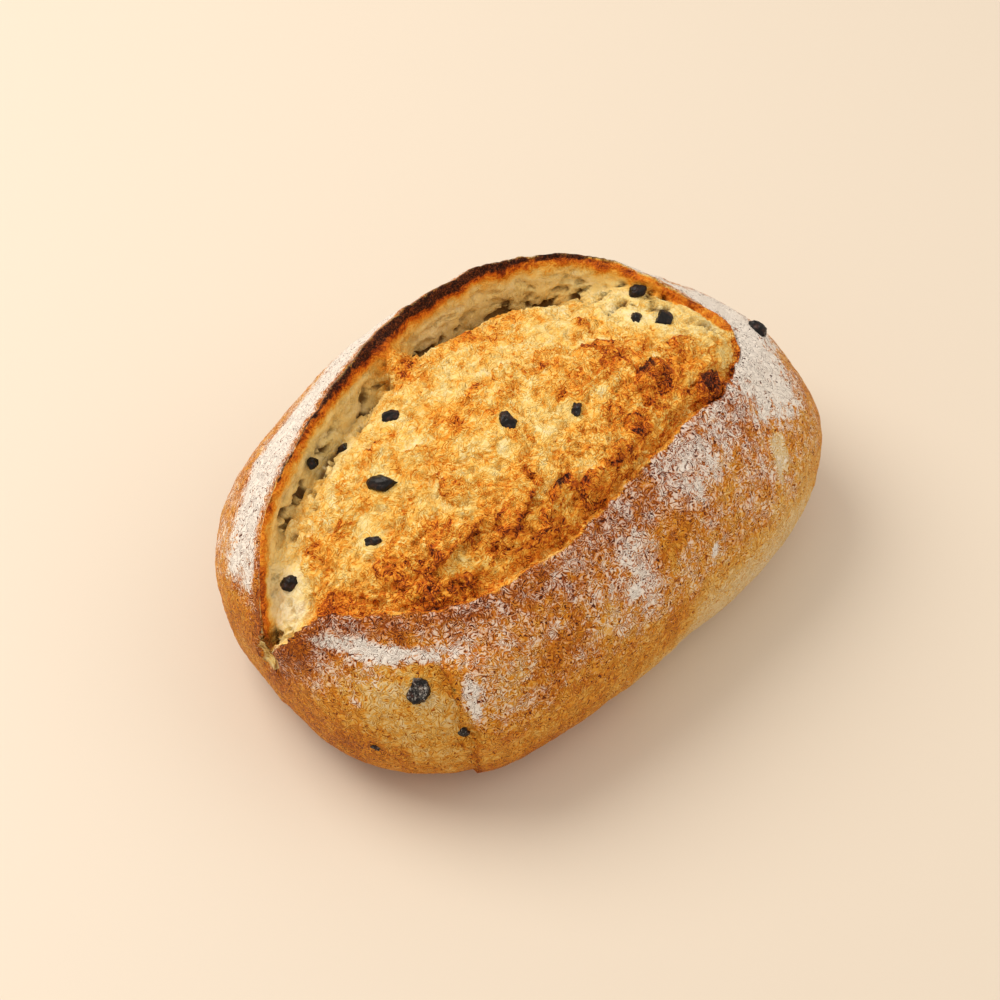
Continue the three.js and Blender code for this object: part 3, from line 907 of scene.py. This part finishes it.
# Painted shade: the crumb turns towards the shaded brown in the gully, its caves and the front end's hollow.
shaded = map_range(tree, attribute(tree, "hollow_shade"), 0.2, 2, 0, 0.85)
crumb_colour = mix_colour(tree, shaded, crumb_colour, SHADED_CRUMB)
scorched = map_range(tree, add_scaled(tree, fine_sway, 1.2, attribute(tree, "scorch")), 0.25, 0.8)
char_colour = add_ramp(tree, finer, [
    (0.3, srgb(22, 11, 10)),
    (0.5, srgb(58, 26, 16)),
    (0.64, srgb(132, 68, 32)),
])
crumb_colour = mix_colour(tree, scorched, crumb_colour, char_colour)

# Crust colour: golden strokes with darker gaps, then flour sieved on it, which catches on the strokes.
FLOUR_WHITE = srgb(253, 245, 235)
baked = add_scaled(tree, fine_sway, 0.5, attribute(tree, "bake"))
baked = add_scaled(tree, crust_curls["Strokes"], -0.2, baked)
baked = add_scaled(tree, crust_curls["Gaps"], 0.5, baked)
crust_colour = add_ramp(tree, baked, [
    (0.0, srgb(238, 208, 154)),
    (0.2, srgb(236, 184, 90)),
    (0.4, srgb(228, 150, 40)),
    (0.6, srgb(202, 112, 22)),
    (0.8, srgb(150, 70, 20)),
    (1.0, srgb(76, 36, 24)),
])
sifted = attribute(tree, "flour")
caught = add_scaled(tree, crust_curls["Strokes"], 0.3, sifted)
caught = add_scaled(tree, crust_curls["Gaps"], -0.7, caught)
floured = use_group(tree, flour_dust, {"Vector": where, "Amount": caught})["Mask"]
whitened = math_node(tree, "MULTIPLY", floured, map_range(tree, sifted, 0.1, 0.65, 0.5, 0.95))
crust_colour = mix_colour(tree, whitened, crust_colour, FLOUR_WHITE)
crust_colour = mix_colour(tree, scorched, crust_colour, char_colour)

# The two meet at the slash's lines, in a ragged edge. Flour is dull, and both have their strokes and gaps in
# relief.
crumb_here = map_range(tree, add_scaled(tree, fine_sway, 1.2, attribute(tree, "inside")), -0.2, 0.25)
tree.links.new(mix_colour(tree, crumb_here, crust_colour, crumb_colour), shader.inputs["Base Color"])
tree.links.new(add_scaled(tree, floured, 0.3, 0.5), shader.inputs["Roughness"])
crumb_relief = add_scaled(tree, gaps, -0.6, fine)
crumb_relief = add_scaled(tree, strokes, 0.4, crumb_relief)
crumb_relief = add_scaled(tree, flakes, 0.8, crumb_relief)
crust_relief = add_scaled(tree, crust_curls["Gaps"], -0.5, math_node(tree, "MULTIPLY", finer, 0.5))
crust_relief = add_scaled(tree, crust_curls["Strokes"], 0.4, crust_relief)
reliefs = {0: crumb_here, 2: crust_relief, 3: crumb_relief}
relief = add_node(tree, "Mix", reliefs, data_type="FLOAT").outputs[0]
bump = add_node(tree, "Bump", {"Height": relief, "Strength": 0.7, "Distance": 0.001})
tree.links.new(bump.outputs["Normal"], shader.inputs["Normal"])
loaf_mesh.materials.append(crust)

loaf = bpy.data.objects.new("baked_loaf", loaf_mesh)
bpy.context.scene.collection.objects.link(loaf)
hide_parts("loaf")
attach(loaf, "root")


# ---- Olive pieces -------------------------------------------------------------------------------
# Black olives, pitted and roughly chopped, that were kneaded into the dough and show where they met its
# surface. Each is the frame's own solid made finer, cut flat by the knife on a few sides, and wrinkled by
# the oven.

# The oily black flesh, wrinkled and a little mottled, with flour on the pieces that lie in the floured crust.
DUSTY_WHITE = srgb(222, 216, 206)
olive_material = bpy.data.materials.new("olive")
olive_material.use_nodes = True
tree = olive_material.node_tree
shader = tree.nodes["Principled BSDF"]
shader.inputs["Specular IOR Level"].default_value = 0.22
shader.inputs["Coat Weight"].default_value = 0.12
shader.inputs["Coat Roughness"].default_value = 0.15
where = add_node(tree, "TexCoord").outputs["Object"]
mottle = noise_node(tree, where, 500, 4, 0.6)
wrinkle = noise_node(tree, where, 1400, 3, 0.6, 0.5)
olive_colour = add_ramp(tree, mottle, [
    (0.35, srgb(10, 8, 9)),
    (0.52, srgb(22, 16, 15)),
    (0.68, srgb(66, 38, 28)),
])
dusted = use_group(tree, flour_dust, {"Vector": where, "Amount": attribute(tree, "flour")})["Mask"]
olive_colour = mix_colour(tree, dusted, olive_colour, DUSTY_WHITE)
tree.links.new(olive_colour, shader.inputs["Base Color"])
tree.links.new(map_range(tree, mottle, 0.3, 0.7, 0.3, 0.5), shader.inputs["Roughness"])
relief = add_scaled(tree, wrinkle, 0.5, mottle)
bump = add_node(tree, "Bump", {"Height": relief, "Strength": 0.5, "Distance": 0.0006})
tree.links.new(bump.outputs["Normal"], shader.inputs["Normal"])

# The finer shape: each knife cut is at a random share of the reach on its side, the whole stands a little
# prouder than the solid, and the wrinkles are in mm.
FLOURED_OLIVES = {"olive_piece_14": 0.32, "olive_piece_15": 0.32, "olive_piece_16": 0.25}
OLIVE_GROWTH = 1.08
KNIFE_CUTS = 5
CUT_SHARES = (0.6, 0.82)
EDGE_SOFTNESS = 0.15
WRINKLE_SIZE = 1.8
WRINKLE_DEPTH = 0.4
MERGE_DISTANCE = 0.02
for name in olive_names:
    number = int(name.rsplit("_", 1)[1])
    chance = random.Random(number)
    build = bmesh.new()
    build.from_mesh(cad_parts[name].data)
    bmesh.ops.remove_doubles(build, verts=build.verts, dist=MERGE_DISTANCE * MM)
    bmesh.ops.subdivide_edges(build, edges=build.edges, cuts=4, use_grid_fill=True, smooth=0.8)
    low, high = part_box(name)
    middle = (Vector(low) + Vector(high)) / 2
    own_centre = Matrix.Translation(-middle)
    bmesh.ops.scale(build, vec=(OLIVE_GROWTH,) * 3, space=own_centre, verts=build.verts)
    for _ in range(KNIFE_CUTS):
        faces = Vector([chance.uniform(-1, 1) for _ in range(3)]).normalized()
        reach = max((vert.co - middle).dot(faces) for vert in build.verts)
        limit = reach * chance.uniform(*CUT_SHARES)
        for vert in build.verts:
            past = (vert.co - middle).dot(faces) - limit
            if past > 0:
                vert.co -= faces * past
    bmesh.ops.smooth_vert(build, verts=build.verts, factor=EDGE_SOFTNESS)
    for vert in build.verts:
        wrinkled = noise.fractal(vert.co / (WRINKLE_SIZE * MM), 0.7, 2.0, 3)
        vert.co += (vert.co - middle).normalized() * wrinkled * WRINKLE_DEPTH * MM
    mesh = bpy.data.meshes.new(name + "_flesh")
    build.to_mesh(mesh)
    build.free()
    for polygon in mesh.polygons:
        polygon.use_smooth = True
    mesh.materials.append(olive_material)
    dust = [FLOURED_OLIVES.get(name, 0) * (0.4 + 0.6 * (vert.normal.z > 0.4)) for vert in mesh.vertices]
    add_attribute(mesh, "flour", dust)
    piece = bpy.data.objects.new(name + "_flesh", mesh)
    bpy.context.scene.collection.objects.link(piece)
    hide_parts(name)
    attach(piece, "root")


# ---- Floor and light ----------------------------------------------------------------------------
# A plain pale table top under the loaf. The light is a soft warm room, with a large round lamp behind the
# loaf to its left and a weaker one in front of it to its right.

FLOOR_HALF_WIDTH = 3
FLOOR_COLOUR = (0.8, 0.7, 0.58, 1)
ROOM_COLOUR = (1, 0.93, 0.84, 1)
ROOM_STRENGTH = 0.66

floor_build = bmesh.new()
bmesh.ops.create_grid(floor_build, x_segments=1, y_segments=1, size=FLOOR_HALF_WIDTH)
floor_mesh = bpy.data.meshes.new("floor")
floor_build.to_mesh(floor_mesh)
floor_build.free()
floor = bpy.data.objects.new("floor", floor_mesh)
bpy.context.scene.collection.objects.link(floor)
floor_material = bpy.data.materials.new("floor")
floor_material.use_nodes = True
floor_material.node_tree.nodes["Principled BSDF"].inputs["Base Color"].default_value = FLOOR_COLOUR
floor_mesh.materials.append(floor_material)

world = bpy.data.worlds.new("studio")
world.use_nodes = True
world.node_tree.nodes["Background"].inputs["Color"].default_value = ROOM_COLOUR
world.node_tree.nodes["Background"].inputs["Strength"].default_value = ROOM_STRENGTH
bpy.context.scene.world = world


def add_lamp(name, place, width, watts, colour):
    """A round soft lamp at a place, turned to the loaf."""
    lamp_data = bpy.data.lights.new(name, "AREA")
    lamp_data.shape = "DISK"
    lamp_data.size = width
    lamp_data.energy = watts
    lamp_data.color = colour
    lamp = bpy.data.objects.new(name, lamp_data)
    lamp.location = place
    lamp.rotation_euler = Vector(place).to_track_quat("Z", "Y").to_euler()
    bpy.context.scene.collection.objects.link(lamp)


add_lamp("key", place=(-0.35, 0.8, 1.2), width=1.1, watts=14, colour=(1, 0.94, 0.86))
add_lamp("fill", place=(0.9, -0.9, 1.2), width=1.4, watts=4, colour=(1, 0.93, 0.84))
bpy.context.scene.view_settings.view_transform = "Standard"
